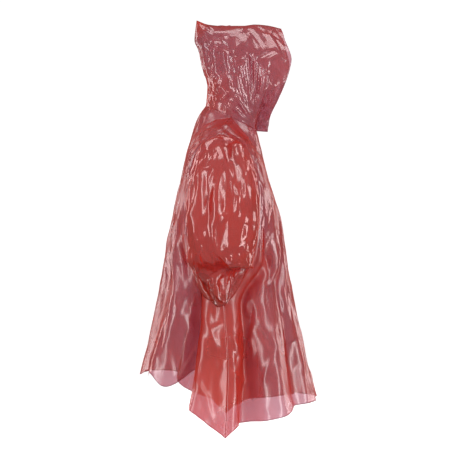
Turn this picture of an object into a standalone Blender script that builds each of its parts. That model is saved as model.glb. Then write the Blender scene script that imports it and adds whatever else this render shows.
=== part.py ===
"""Hooded rain poncho in thin plastic film, in the hollow form it has when worn.

Metres, +Z up. The origin is midway between the shoulders, at the base of the neckline, where the poncho is held up.
The front of the garment faces -Y, and its right side, as worn, is at -X.

Six cut pieces, each a film wall with its own thickness: front and back panel, two wide short sleeves, and the two
halves of a flat, bag-like hood. Every surface is a function of two shares: across (0 at the middle of a panel, 1 at
its side) and down (0 at the neck, 1 at the hem). The functions read short tables of sections and folds.
"""

import math

import bmesh
import bpy
import numpy as np

# ---------------------------------------------------------------- sizes
WALL = 0.0012  # film wall
GAP = 0.0003  # between the walls of two pieces at a seam
WELD_X = 0.0009  # the hood halves' middle surfaces stay this far from the plane x = 0 at their weld

COLUMNS = 16  # quads across half a body panel
NECK_COLUMNS = 6  # of these, the ones along the neckline
ROWS = 20  # quads down a body panel
ARMHOLE_ROWS = 12  # of these, the ones beside the armhole
SLEEVE_RINGS = 9  # quads along a sleeve
HOOD_FREE_COLUMNS = 3  # quads along the hood's free lower edge, in front of the throat
HOOD_ROWS = 13

NECK_HALF_WIDTH = 0.095
NECK_BACK_Y, NECK_BACK_Z = 0.0536, 0.0168
NECK_FRONT_Y, NECK_FRONT_Z = -0.1156, -0.0643
SHOULDER_TIP = (0.200, 0.000, -0.080)
YOKE = 0.17  # share down at which the cloth has left the shoulders and hangs

# Sections of the body from neck to hem. "down" is the share of the way down. front_* and back_* are the middle of each
# panel; side_x and side_z are the panel's side, with its own y on the front and on the back where the armhole parts
# them; round_* is the exponent of the section's outline, 2 for an ellipse and more for a squarer one.
BODY = (
    # down  front_y  front_z  back_y  back_z  side_x  side_z  side_front_y side_back_y round_front round_back
    (0.00, -0.1156, -0.0643, 0.0536, 0.0168, 0.200, -0.080, 0.000, 0.000, 2.0, 2.0),
    (0.06, -0.1320, -0.1256, 0.0814, -0.0201, 0.209, -0.115, -0.066, 0.060, 2.0, 2.1),
    (0.15, -0.1518, -0.2010, 0.1085, -0.1072, 0.215, -0.185, -0.097, 0.090, 2.0, 2.2),
    (0.30, -0.1860, -0.3300, 0.1414, -0.2446, 0.219, -0.320, -0.112, 0.103, 2.0, 2.2),
    (0.45, -0.2077, -0.4690, 0.1725, -0.3953, 0.222, -0.470, -0.106, 0.094, 2.1, 2.3),
    (0.60, -0.2355, -0.6030, 0.2000, -0.5528, 0.238, -0.645, -0.008, -0.008, 2.1, 2.3),
    (0.80, -0.2680, -0.7805, 0.2335, -0.7203, 0.285, -0.845, -0.020, -0.020, 2.1, 2.3),
    (1.00, -0.3109, -0.9548, 0.2670, -0.8750, 0.335, -1.048, -0.012, -0.012, 2.1, 2.3),
)
BODY_COLUMNS = (
    "down", "front_y", "front_z", "back_y", "back_z", "side_x", "side_z",
    "side_front_y", "side_back_y", "round_front", "round_back",
)  # fmt: skip

# How the sections drop from the middle of a panel to its side: the share of the drop at each share across.
DROP_COLUMNS = ("across", "front", "back")
DROP = (
    (0.00, 0.00, 0.00), (0.20, 0.02, 0.01), (0.40, 0.11, 0.06), (0.55, 0.25, 0.24),
    (0.70, 0.42, 0.46), (0.85, 0.58, 0.70), (0.94, 0.72, 0.86), (1.00, 1.00, 1.00),
)  # fmt: skip

# The largest folds. side: -1 the garment's right, 1 its left. at: the share across at the hem; top_at: the share across
# where the fold starts. width: its half width, as a share across. out: how far it stands out (+) or in (-) at the hem.
# lean: how far it is pushed over towards the side seam. lift: how far it raises the hem. start: the share down where
# it begins. full: the share down at which it is fully formed.
FOLD_COLUMNS = ("panel", "side", "at", "top_at", "width", "out", "lean", "lift", "start", "full")
FOLDS = (
    # the deep pleat behind the right sleeve, and the flap of cloth that hangs in front of it
    ("back", -1, 0.66, 0.80, 0.070, -0.100, 0.014, 0.100, 0.33, 0.95),
    ("back", -1, 0.80, 0.90, 0.055, 0.016, 0.000, 0.012, 0.50, 0.90),
    ("back", -1, 0.46, 0.60, 0.090, 0.012, 0.000, 0.038, 0.33, 0.95),
    ("back", -1, 0.24, 0.40, 0.085, -0.018, 0.000, 0.022, 0.25, 1.00),
    ("back", -1, 0.08, 0.10, 0.070, 0.006, 0.000, 0.000, 0.30, 1.00),
    # the groove between the right side seam and the front panel, below the cuff
    ("front", -1, 0.83, 0.80, 0.070, -0.080, 0.000, 0.000, 0.36, 0.92),
    ("front", -1, 0.62, 0.62, 0.080, 0.016, 0.000, 0.000, 0.20, 1.00),
    ("front", -1, 0.40, 0.46, 0.075, -0.022, 0.000, 0.004, 0.18, 0.90),
    ("front", -1, 0.17, 0.26, 0.070, 0.012, 0.000, 0.000, 0.18, 1.00),
    # the left side hangs in softer and wider folds
    ("back", 1, 0.50, 0.66, 0.090, -0.050, 0.014, 0.012, 0.34, 1.00),
    ("back", 1, 0.74, 0.80, 0.075, 0.020, 0.000, 0.000, 0.40, 1.00),
    ("back", 1, 0.90, 0.90, 0.055, -0.050, 0.000, 0.010, 0.52, 0.95),
    ("back", 1, 0.18, 0.30, 0.080, -0.014, 0.000, 0.000, 0.28, 1.00),
    ("front", 1, 0.78, 0.78, 0.075, -0.064, 0.012, 0.010, 0.34, 1.00),
    ("front", 1, 0.56, 0.60, 0.080, 0.018, 0.000, 0.000, 0.24, 1.00),
    ("front", 1, 0.34, 0.42, 0.075, -0.026, 0.000, 0.006, 0.18, 1.00),
    ("front", 1, 0.10, 0.16, 0.070, 0.010, 0.000, 0.000, 0.20, 1.00),
)

# Sections of a sleeve, as rings from the armhole to the cuff. "along" is the share of the way. outer_* is the ring's
# top, which runs over the shoulder and down the outside of the sleeve; inner_* is its foot, which runs from the underarm
# to the inside of the cuff. half_width is half the ring's depth, front to back; pear makes it wider at the top.
SLEEVE_COLUMNS = ("along", "outer_x", "outer_y", "outer_z", "inner_x", "inner_y", "inner_z", "half_width", "pear")
SLEEVE = (
    (0.00, 0.200, 0.000, -0.080, 0.238, -0.008, -0.645, 0.105, 0.00),
    (0.20, 0.254, -0.002, -0.126, 0.254, 0.004, -0.641, 0.109, 0.05),
    (0.40, 0.288, -0.010, -0.216, 0.248, 0.018, -0.628, 0.108, 0.15),
    (0.60, 0.309, -0.026, -0.322, 0.242, 0.030, -0.602, 0.098, 0.28),
    (0.80, 0.321, -0.048, -0.424, 0.237, 0.028, -0.562, 0.077, 0.30),
    (0.92, 0.324, -0.060, -0.482, 0.237, -0.005, -0.530, 0.058, 0.20),
    (1.00, 0.322, -0.065, -0.514, 0.240, -0.048, -0.512, 0.047, 0.05),
)

# The hood's outline seen from the side, as three edges. Each row is a share along the edge with its y and z.
EDGE_COLUMNS = ("along", "y", "z")
HOOD_BACK = (
    (0.00, 0.0536, 0.0168), (0.12, 0.0500, 0.0482), (0.25, 0.0486, 0.0848), (0.45, 0.0650, 0.1427),
    (0.68, 0.0800, 0.2080), (0.79, 0.0920, 0.2400), (1.00, 0.0851, 0.3069),
)  # fmt: skip
HOOD_TOP = (
    (0.00, 0.0851, 0.3069), (0.14, 0.0452, 0.2925), (0.28, 0.0050, 0.2888), (0.55, -0.0710, 0.2888),
    (0.68, -0.1100, 0.2931), (0.84, -0.1511, 0.2898), (1.00, -0.1983, 0.2790),
)  # fmt: skip
HOOD_FRONT = (
    (0.00, -0.1531, -0.0660), (0.13, -0.1585, -0.0278), (0.38, -0.1910, 0.0482), (0.56, -0.2175, 0.1120),
    (0.66, -0.2298, 0.1645), (0.82, -0.2181, 0.2117), (1.00, -0.1983, 0.2790),
)  # fmt: skip
# Half the width of the face opening, from the throat up to the top weld.
OPENING_COLUMNS = ("along", "half_width")
OPENING = ((0.00, 0.020), (0.15, 0.040), (0.35, 0.074), (0.55, 0.092), (0.75, 0.078), (0.90, 0.042), (1.00, 0.0))
HOOD_HALF_WIDTH = 0.098  # at its widest

# Colour of the film: red, see-through, glossy.
FILM_COLOUR = (0.62, 0.055, 0.06, 1.0)
FILM_ROUGHNESS = 0.18
FILM_SEEN = 0.72


# ---------------------------------------------------------------- reading the tables
def column(rows, names, name, share):
    """One column of a table at a share of its first column, on a smooth curve with no overshoot."""
    at = names.index(name)
    x = np.array([r[0] for r in rows], float)
    y = np.array([r[at] for r in rows], float)
    step, slope = np.diff(x), np.diff(y) / np.diff(x)
    tangent = np.zeros(len(x))
    for i in range(1, len(x) - 1):
        if slope[i - 1] * slope[i] > 0:
            a, b = 2 * step[i] + step[i - 1], step[i] + 2 * step[i - 1]
            tangent[i] = (a + b) / (a / slope[i - 1] + b / slope[i])
    tangent[0], tangent[-1] = slope[0], slope[-1]
    share = min(max(share, x[0]), x[-1])
    i = min(int(np.searchsorted(x, share, side="right")) - 1, len(x) - 2)
    t = (share - x[i]) / step[i]
    return (
        y[i] * (1 + 2 * t) * (1 - t) ** 2
        + y[i + 1] * t * t * (3 - 2 * t)
        + step[i] * (tangent[i] * t * (1 - t) ** 2 - tangent[i + 1] * t * t * (1 - t))
    )


def ease(low, high, value):
    t = min(max((value - low) / (high - low), 0.0), 1.0)
    return t * t * (3 - 2 * t)


def evenly(points, count):
    """count + 1 points at equal distances along a polyline."""
    points = np.asarray(points, float)
    run = np.concatenate([[0], np.cumsum(np.linalg.norm(np.diff(points, axis=0), axis=1))])
    at = np.linspace(0, run[-1], count + 1)
    return np.stack([np.interp(at, run, points[:, k]) for k in range(3)], axis=1)


# ---------------------------------------------------------------- body panels
def neck(turn):
    """A point of the neckline on the left side: turn 0 at the middle of the back, 1 at the side, 2 at the throat."""
    a = turn * math.pi / 2
    share = (1 - math.cos(a)) / 2
    y = NECK_BACK_Y + (NECK_FRONT_Y - NECK_BACK_Y) * share
    z = NECK_BACK_Z + (NECK_FRONT_Z - NECK_BACK_Z) * share
    return np.array([NECK_HALF_WIDTH * math.sin(a), y, z])


def top_line(panel, columns, neck_columns):
    """The top edge of half a panel: the neckline from its middle to the side of the neck, then the shoulder line."""
    start, points = (2.0 if panel == "front" else 0.0), []
    for i in range(neck_columns):
        points.append(neck(start + (1.0 - start) * i / neck_columns))
    side, tip = neck(1.0), np.array(SHOULDER_TIP)
    for i in range(columns - neck_columns + 1):
        t = i / (columns - neck_columns)
        bow = 0.006 * math.sin(math.pi * t)  # the shoulder line is a little rounded
        points.append(side + (tip - side) * t + np.array([0, 0, bow]))
    return np.array(points)


def side_edge(panel, down):
    """A point of a panel's side on the left: the armhole's edge, and below it the side seam, which both panels share."""
    get = lambda name: column(BODY, BODY_COLUMNS, name, down)
    y = get(f"side_{panel}_y")
    if down >= ARMHOLE_ROWS / ROWS:
        y = (get("side_front_y") + get("side_back_y")) / 2
    return np.array([get("side_x"), y, get("side_z")])


def section(panel, side, down, columns):
    """Half a section of the hanging cloth, from the panel's middle to its side, with its folds."""
    get = lambda name: column(BODY, BODY_COLUMNS, name, down)
    middle_y, middle_z = get(panel + "_y"), get(panel + "_z")
    side_x, side_y, side_z = side_edge(panel, down)
    power = 2 / get("round_" + panel)
    count = 240
    points = np.zeros((count + 1, 3))
    for i in range(count + 1):
        a = i / count * math.pi / 2
        points[i] = (
            side_x * math.sin(a) ** power,
            side_y + (middle_y - side_y) * math.cos(a) ** power,
            0,
        )
    points = evenly(points, count)
    across = np.linspace(0, 1, count + 1)
    low = ease(0.3, 1.0, down)
    drop = across**2 * (1 - low) + low * np.array([column(DROP, DROP_COLUMNS, panel, s) for s in across])
    points[:, 2] = middle_z + (side_z - middle_z) * drop
    # folds, along the section's outward normal
    along = np.gradient(points[:, :2], axis=0)
    along /= np.linalg.norm(along, axis=1)[:, None]
    sign = 1.0 if panel == "back" else -1.0
    outward = np.stack([along[:, 1] * -sign, along[:, 0] * sign], axis=1)
    hold = np.sin(np.clip((1 - across) / 0.10, 0, 1) * math.pi / 2) * np.clip(across / 0.02, 0, 1)
    for row in FOLDS:
        fold = dict(zip(FOLD_COLUMNS, row))
        if fold["panel"] != panel or fold["side"] != side:
            continue
        grown = ease(fold["start"], fold["full"], down)
        if grown <= 0:
            continue
        at = fold["top_at"] + (fold["at"] - fold["top_at"]) * grown
        shape = np.exp(-(((across - at) / fold["width"]) ** 2)) * hold * grown
        points[:, :2] += outward * (fold["out"] * shape)[:, None]
        points[:, :2] += along * (fold["lean"] * shape)[:, None]
        points[:, 2] += fold["lift"] * shape
    even = evenly(points, columns)
    even[0], even[-1] = points[0], points[-1]
    return even


def half_panel(panel, side, columns, rows, neck_columns):
    """Grid of points [row, column] of half a panel, on the side given."""
    top = top_line(panel, columns, neck_columns)
    grid = np.zeros((rows + 1, columns + 1, 3))
    for r in range(rows + 1):
        down = r / rows
        hang = section(panel, side, down, columns)
        held = (1 - min(down / YOKE, 1.0)) ** 2
        # the top line is carried down with the middle of the panel and with its side, so that rows stay apart
        first = section(panel, side, 0.0, columns) if r == 0 else start
        if r == 0:
            start = first
        grid[r] = hang + (top - start) * held
    grid[:, :, 0] *= side
    return grid


def body_panel(panel, columns=COLUMNS, rows=ROWS, neck_columns=NECK_COLUMNS):
    """The whole panel, from the right side seam to the left one."""
    right = half_panel(panel, -1, columns, rows, neck_columns)
    left = half_panel(panel, 1, columns, rows, neck_columns)
    right[:, 0] = left[:, 0] = (right[:, 0] + left[:, 0]) / 2
    return np.concatenate([right[:, ::-1], left[:, 1:]], axis=1)


# ---------------------------------------------------------------- sleeves
def armhole(side, rows, armhole_rows):
    """The ring of points round the armhole: from the shoulder down the back to the underarm, and up the front."""
    ring = [side_edge("back", r / rows) for r in range(armhole_rows + 1)]
    ring += [side_edge("front", r / rows) for r in range(armhole_rows - 1, -1, -1)]
    return np.array(ring) * (side, 1, 1)


def sleeve_ring(side, row, first):
    """A ring of a sleeve, from its section's row, with its points as far down the ring as the armhole's points are."""
    ring = dict(zip(SLEEVE_COLUMNS, row))
    outer = np.array([ring[f"outer_{k}"] for k in "xyz"])
    inner = np.array([ring[f"inner_{k}"] for k in "xyz"])
    puff = 0.02 * math.sin(math.pi * ring["along"]) * (1 - ring["along"])  # the sleeve is rounder near the shoulder
    # over the upper part of the sleeve the ring is squarer than an ellipse above, and narrower below
    bulge = math.sin(math.pi * min(ring["along"] / 0.8, 1.0)) ** 0.5 if ring["along"] < 0.8 else 0.0
    half = len(first) // 2
    points = []
    for i, (_, _, armhole_z) in enumerate(first):
        share = (armhole_z - first[0, 2]) / (first[half, 2] - first[0, 2])
        up = 1 - 2 * share  # 1 at the top, -1 at the foot
        power = 2.0 + (1.0 if up > 0 else -0.45) * bulge
        deep = max(1 - abs(up) ** power, 0) ** (1 / power) * (1 if i < half else -1)  # 1 at the back, -1 at the front
        x, y, z = outer + (inner - outer) * share
        y += ring["half_width"] * (1 + ring["pear"] * up) * deep
        points.append((side * (x + puff * (1 - up * up)), y, z))
    return np.array(points)


def spline(rings, shares, share):
    """A point set between rings at a share, on a smooth curve through the rings' own points."""
    i = min(max(int(np.searchsorted(shares, share, side="right")) - 1, 0), len(shares) - 2)
    t = (share - shares[i]) / (shares[i + 1] - shares[i])

    def tangent(k):
        low, high = max(k - 1, 0), min(k + 1, len(shares) - 1)
        return (rings[high] - rings[low]) / (shares[high] - shares[low])

    step = shares[i + 1] - shares[i]
    return (
        rings[i] * (1 + 2 * t) * (1 - t) ** 2
        + rings[i + 1] * t * t * (3 - 2 * t)
        + step * (tangent(i) * t * (1 - t) ** 2 - tangent(i + 1) * t * t * (1 - t))
    )


def sleeve(side, rings=SLEEVE_RINGS, rows=ROWS, armhole_rows=ARMHOLE_ROWS):
    """Grid [ring, point around] of a sleeve. The last point of each ring meets its first."""
    first = armhole(side, rows, armhole_rows)
    tables = [first] + [sleeve_ring(side, row, first) for row in SLEEVE[1:]]
    shares = [row[0] for row in SLEEVE]
    return np.array([spline(tables, shares, i / rings) for i in range(rings + 1)])


# ---------------------------------------------------------------- hood
def edge(rows, share):
    return np.array([column(rows, EDGE_COLUMNS, "y", share), column(rows, EDGE_COLUMNS, "z", share)])


def hood(side, neck_columns=NECK_COLUMNS, free_columns=HOOD_FREE_COLUMNS, rows=HOOD_ROWS):
    """Grid [row, column] of half the hood: rows from the neck up to the top weld, columns from the back weld forward."""
    columns = 2 * neck_columns + free_columns
    throat = 2 * neck_columns
    bottom = np.zeros((columns + 1, 3))
    corner = edge(HOOD_FRONT, 0.0)
    for c in range(columns + 1):
        if c <= throat:
            bottom[c] = neck(2.0 * c / throat)
        else:
            t = (c - throat) / free_columns
            y, z = np.array([NECK_FRONT_Y, NECK_FRONT_Z]) + (corner - (NECK_FRONT_Y, NECK_FRONT_Z)) * t
            bottom[c] = (column(OPENING, OPENING_COLUMNS, "half_width", 0.0) * t, y, z)
    # the share forward of each column is taken from how far forward its foot is, so that the columns run straight up
    foot = (bottom[:, 1] - bottom[0, 1]) / (bottom[-1, 1] - bottom[0, 1])
    even = np.linspace(0, 1, columns + 1)
    grid = np.zeros((rows + 1, columns + 1, 3))
    for r in range(rows + 1):
        up = r / rows
        back, front = edge(HOOD_BACK, up), edge(HOOD_FRONT, up)
        opening = column(OPENING, OPENING_COLUMNS, "half_width", up)
        for c in range(columns + 1):
            forward = foot[c] + (even[c] - foot[c]) * ease(0.0, 0.5, up)
            low = bottom[c, 1:]
            high = edge(HOOD_TOP, forward)
            corners = (
                edge(HOOD_BACK, 0) * (1 - forward) * (1 - up)
                + edge(HOOD_FRONT, 0) * forward * (1 - up)
                + edge(HOOD_BACK, 1) * (1 - forward) * up
                + edge(HOOD_FRONT, 1) * forward * up
            )
            y, z = back * (1 - forward) + front * forward + low * (1 - up) + high * up - corners
            rise = min(forward / 0.42, 1.0)
            round_back = math.sqrt(max(1 - (1 - rise) ** 2, 0))
            power = 2.3 - 0.9 * ease(0.5, 1.0, forward)
            high_share = min(max((up - 0.55) / 0.45, 0.0), 1.0)
            round_top = max(1 - high_share**power, 0) ** (1 / power)
            crown = HOOD_HALF_WIDTH * round_back * round_top
            at_front = opening
            x = crown + (at_front - crown) * ease(0.45, 1.0, forward)
            x = bottom[c, 0] + (x - bottom[c, 0]) * ease(0.0, 0.42, up)
            grid[r, c] = (max(x, 0.0), y, z)
    grid[:, :, 0] *= side
    return grid


# ---------------------------------------------------------------- from grids to solids
def unit(vector):
    return vector / max(np.linalg.norm(vector), 1e-9)


def edges(grid, whole):
    """The points on a grid's edges: {(row, column): [(way into the piece, run along the edge), ...]}, all unit."""
    found = {}
    rows, columns = grid.shape[0] - 1, grid.shape[1] - 1
    for c in range(columns + 1):
        run = grid[0, min(c + 1, columns)] - grid[0, max(c - 1, 0)]
        found.setdefault((0, c), []).append((unit(grid[1, c] - grid[0, c]), unit(run)))
    for r in range(rows + 1) if whole else ():
        for c, inner in ((0, 1), (columns, columns - 1)):
            run = grid[min(r + 1, rows), c] - grid[max(r - 1, 0), c]
            found.setdefault((r, c), []).append((unit(grid[r, inner] - grid[r, c]), unit(run)))
    return found


def open_seams(grids):
    """Moves the pieces' edges back from the seams, far enough that their walls, with their thickness, stay apart."""
    shared, moves = {}, []
    for name, (grid, tube, whole) in grids.items():
        for key, sides in edges(grid, whole).items():
            for way, run in sides:
                shared.setdefault(tuple(np.round(grid[key], 4) + 0.0), []).append((name, key, way, run))
    for group in shared.values():
        for name, key, way, run in group:
            stop = 0.0
            across = way - run * (way @ run)  # the way into this piece, square to the seam
            reach = np.linalg.norm(across)
            across = unit(across)
            normal = np.cross(run, across)
            for other, _, their_way, _ in group:
                theirs = their_way - run * (their_way @ run)
                if other == name or np.linalg.norm(theirs) < 0.3:
                    continue
                between = across - unit(theirs)
                if np.linalg.norm(between) < 0.3:  # it runs beside this one
                    continue
                between = unit(between)
                stop = max(stop, (GAP / 2 + WALL / 2 * abs(normal @ between)) / (across @ between))
            moves.append((name, key, way * min(stop / max(reach, 0.3), 0.004)))
    for name, key, move in moves:
        grid, tube, _ = grids[name]
        if tube and key[1] == grid.shape[1] - 1:
            continue
        grid[key] += move
        if tube and key[1] == 0:
            grid[key[0], -1] = grid[key]


def film_material(name):
    material = bpy.data.materials.new(name)
    material.use_nodes = True
    shader = material.node_tree.nodes["Principled BSDF"]
    shader.inputs["Base Color"].default_value = FILM_COLOUR
    shader.inputs["Roughness"].default_value = FILM_ROUGHNESS
    shader.inputs["Metallic"].default_value = 0.0
    shader.inputs["Alpha"].default_value = FILM_SEEN
    return material


def add_piece(name, grid, collection, tube=False, flip=False):
    """A named film wall on a grid of points: a grid mesh with its vertices set, then Solidify."""
    rows, columns = grid.shape[0] - 1, grid.shape[1] - 1
    bm = bmesh.new()
    bmesh.ops.create_grid(bm, x_segments=columns, y_segments=rows, size=1.0)
    bm.verts.ensure_lookup_table()
    flat = [(round((v.co.y + 1) / 2 * rows), round((v.co.x + 1) / 2 * columns)) for v in bm.verts]
    for v, (r, c) in zip(list(bm.verts), flat):
        v.co = grid[r, c]
    if tube:
        bmesh.ops.remove_doubles(bm, verts=bm.verts, dist=0.00005)
    if flip:
        bmesh.ops.reverse_faces(bm, faces=bm.faces)
    mesh = bpy.data.meshes.new(name)
    bm.to_mesh(mesh)
    bm.free()
    mesh.shade_smooth()
    mesh.set_sharp_from_angle(angle=math.radians(50))
    piece = bpy.data.objects.new(name, mesh)
    collection.objects.link(piece)
    wall = piece.modifiers.new("film", "SOLIDIFY")
    wall.thickness = WALL
    wall.offset = 0.0
    piece.data.materials.append(film_material(name + "_film"))
    return piece


def main():
    for old in list(bpy.data.objects):
        bpy.data.objects.remove(old)
    parts = bpy.data.collections.new("rain_poncho")
    bpy.context.scene.collection.children.link(parts)
    grids = {panel + "_panel": (body_panel(panel), False, True) for panel in ("front", "back")}
    for word, side in (("right", -1), ("left", 1)):
        grids["sleeve_" + word] = (sleeve(side), True, False)
        grids["hood_" + word] = (hood(side), False, False)
    open_seams(grids)
    for word, side in (("right", -1), ("left", 1)):
        grid = grids["hood_" + word][0]
        grid[:, :, 0] = side * np.maximum(side * grid[:, :, 0], WELD_X)
    inside_out = ("back_panel", "sleeve_left", "hood_left")
    for name, (grid, tube, _) in grids.items():
        add_piece(name, grid, parts, tube=tube, flip=name in inside_out)


main()
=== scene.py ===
"""Looks of the hooded rain poncho: see-through red film, hung as it is when worn, in a pale studio.

Metres, +Z up, front of the garment at -Y, its right side, as worn, at -X, as in the frame. The film is six thin
shells, one on each node. They repeat the frame's own sections at a fine pitch, with the smaller folds and creases.
"""

import math

import bmesh
import bpy
import numpy as np
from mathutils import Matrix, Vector


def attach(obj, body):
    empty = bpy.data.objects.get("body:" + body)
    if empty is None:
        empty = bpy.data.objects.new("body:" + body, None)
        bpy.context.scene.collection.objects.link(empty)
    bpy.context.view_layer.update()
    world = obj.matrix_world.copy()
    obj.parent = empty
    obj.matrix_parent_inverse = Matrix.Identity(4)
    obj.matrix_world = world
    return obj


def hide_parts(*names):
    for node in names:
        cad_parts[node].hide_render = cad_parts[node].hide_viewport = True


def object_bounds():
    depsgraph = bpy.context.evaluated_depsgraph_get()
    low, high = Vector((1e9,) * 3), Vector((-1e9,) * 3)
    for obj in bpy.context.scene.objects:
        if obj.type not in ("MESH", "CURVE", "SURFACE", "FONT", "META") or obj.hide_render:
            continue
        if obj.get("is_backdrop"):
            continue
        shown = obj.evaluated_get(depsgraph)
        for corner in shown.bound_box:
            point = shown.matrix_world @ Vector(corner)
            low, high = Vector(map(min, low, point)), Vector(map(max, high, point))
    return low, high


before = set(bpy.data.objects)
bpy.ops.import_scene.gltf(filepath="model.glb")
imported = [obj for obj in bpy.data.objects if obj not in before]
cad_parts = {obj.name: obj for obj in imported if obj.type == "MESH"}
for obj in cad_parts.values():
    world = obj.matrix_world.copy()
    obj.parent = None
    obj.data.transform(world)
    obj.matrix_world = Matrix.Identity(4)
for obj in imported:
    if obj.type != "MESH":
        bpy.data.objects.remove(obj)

# ---------------------------------------------------------------- sizes
FILM = 0.0005  # thickness of the visible shell
COLUMNS, NECK_COLUMNS = 112, 42  # quads across half a panel, and along its neckline
ROWS, ARMHOLE_ROWS = 200, 120  # quads down a panel, and beside the armhole
SLEEVE_RINGS = 72
HOOD_FREE_COLUMNS, HOOD_ROWS = 21, 100

NECK_HALF_WIDTH = 0.095
NECK_BACK_Y, NECK_BACK_Z = 0.0536, 0.0168
NECK_FRONT_Y, NECK_FRONT_Z = -0.1156, -0.0643
SHOULDER_TIP = (0.200, 0.000, -0.080)
YOKE = 0.17
HOOD_HALF_WIDTH = 0.098

BODY = (
    # down  front_y  front_z  back_y  back_z  side_x  side_z  side_front_y side_back_y round_front round_back
    (0.00, -0.1156, -0.0643, 0.0536, 0.0168, 0.200, -0.080, 0.000, 0.000, 2.0, 2.0),
    (0.06, -0.1320, -0.1256, 0.0814, -0.0201, 0.209, -0.115, -0.066, 0.060, 2.0, 2.1),
    (0.15, -0.1518, -0.2010, 0.1085, -0.1072, 0.215, -0.185, -0.097, 0.090, 2.0, 2.2),
    (0.30, -0.1860, -0.3300, 0.1414, -0.2446, 0.219, -0.320, -0.112, 0.103, 2.0, 2.2),
    (0.45, -0.2077, -0.4690, 0.1725, -0.3953, 0.222, -0.470, -0.106, 0.094, 2.1, 2.3),
    (0.60, -0.2355, -0.6030, 0.2000, -0.5528, 0.238, -0.645, -0.008, -0.008, 2.1, 2.3),
    (0.80, -0.2680, -0.7805, 0.2335, -0.7203, 0.285, -0.845, -0.020, -0.020, 2.1, 2.3),
    (1.00, -0.3109, -0.9548, 0.2670, -0.8750, 0.335, -1.048, -0.012, -0.012, 2.1, 2.3),
)
BODY_COLUMNS = (
    "down", "front_y", "front_z", "back_y", "back_z", "side_x", "side_z",
    "side_front_y", "side_back_y", "round_front", "round_back",
)  # fmt: skip
DROP_COLUMNS = ("across", "front", "back")
DROP = (
    (0.00, 0.00, 0.00), (0.20, 0.02, 0.01), (0.40, 0.11, 0.06), (0.55, 0.25, 0.24),
    (0.70, 0.42, 0.46), (0.85, 0.58, 0.70), (0.94, 0.72, 0.86), (1.00, 1.00, 1.00),
)  # fmt: skip
FOLD_COLUMNS = ("panel", "side", "at", "top_at", "width", "out", "lean", "lift", "start", "full")
FOLDS = (
    ("back", -1, 0.66, 0.80, 0.070, -0.100, 0.014, 0.100, 0.33, 0.95),
    ("back", -1, 0.80, 0.90, 0.055, 0.016, 0.000, 0.012, 0.50, 0.90),
    ("back", -1, 0.46, 0.60, 0.090, 0.012, 0.000, 0.038, 0.33, 0.95),
    ("back", -1, 0.24, 0.40, 0.085, -0.018, 0.000, 0.022, 0.25, 1.00),
    ("back", -1, 0.08, 0.10, 0.070, 0.006, 0.000, 0.000, 0.30, 1.00),
    ("front", -1, 0.83, 0.80, 0.070, -0.080, 0.000, 0.000, 0.36, 0.92),
    ("front", -1, 0.62, 0.62, 0.080, 0.016, 0.000, 0.000, 0.20, 1.00),
    ("front", -1, 0.40, 0.46, 0.075, -0.022, 0.000, 0.004, 0.18, 0.90),
    ("front", -1, 0.17, 0.26, 0.070, 0.012, 0.000, 0.000, 0.18, 1.00),
    ("back", 1, 0.50, 0.66, 0.090, -0.050, 0.014, 0.012, 0.34, 1.00),
    ("back", 1, 0.74, 0.80, 0.075, 0.020, 0.000, 0.000, 0.40, 1.00),
    ("back", 1, 0.90, 0.90, 0.055, -0.050, 0.000, 0.010, 0.52, 0.95),
    ("back", 1, 0.18, 0.30, 0.080, -0.014, 0.000, 0.000, 0.28, 1.00),
    ("front", 1, 0.78, 0.78, 0.075, -0.064, 0.012, 0.010, 0.34, 1.00),
    ("front", 1, 0.56, 0.60, 0.080, 0.018, 0.000, 0.000, 0.24, 1.00),
    ("front", 1, 0.34, 0.42, 0.075, -0.026, 0.000, 0.006, 0.18, 1.00),
    ("front", 1, 0.10, 0.16, 0.070, 0.010, 0.000, 0.000, 0.20, 1.00),
)
SLEEVE_COLUMNS = ("along", "outer_x", "outer_y", "outer_z", "inner_x", "inner_y", "inner_z", "half_width", "pear")
SLEEVE = (
    (0.00, 0.200, 0.000, -0.080, 0.238, -0.008, -0.645, 0.105, 0.00),
    (0.20, 0.254, -0.002, -0.126, 0.254, 0.004, -0.641, 0.109, 0.05),
    (0.40, 0.288, -0.010, -0.216, 0.248, 0.018, -0.628, 0.108, 0.15),
    (0.60, 0.309, -0.026, -0.322, 0.242, 0.030, -0.602, 0.098, 0.28),
    (0.80, 0.321, -0.048, -0.424, 0.237, 0.028, -0.562, 0.077, 0.30),
    (0.92, 0.324, -0.060, -0.482, 0.237, -0.005, -0.530, 0.058, 0.20),
    (1.00, 0.322, -0.065, -0.514, 0.240, -0.048, -0.512, 0.047, 0.05),
)
EDGE_COLUMNS = ("along", "y", "z")
HOOD_BACK = (
    (0.00, 0.0536, 0.0168), (0.12, 0.0500, 0.0482), (0.25, 0.0486, 0.0848), (0.45, 0.0650, 0.1427),
    (0.68, 0.0800, 0.2080), (0.79, 0.0920, 0.2400), (1.00, 0.0851, 0.3069),
)  # fmt: skip
HOOD_TOP = (
    (0.00, 0.0851, 0.3069), (0.14, 0.0452, 0.2925), (0.28, 0.0050, 0.2888), (0.55, -0.0710, 0.2888),
    (0.68, -0.1100, 0.2931), (0.84, -0.1511, 0.2898), (1.00, -0.1983, 0.2790),
)  # fmt: skip
HOOD_FRONT = (
    (0.00, -0.1531, -0.0660), (0.13, -0.1585, -0.0278), (0.38, -0.1910, 0.0482), (0.56, -0.2175, 0.1120),
    (0.66, -0.2298, 0.1645), (0.82, -0.2181, 0.2117), (1.00, -0.1983, 0.2790),
)  # fmt: skip
OPENING_COLUMNS = ("along", "half_width")
OPENING = ((0.00, 0.020), (0.15, 0.040), (0.35, 0.074), (0.55, 0.092), (0.75, 0.078), (0.90, 0.042), (1.00, 0.0))


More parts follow.
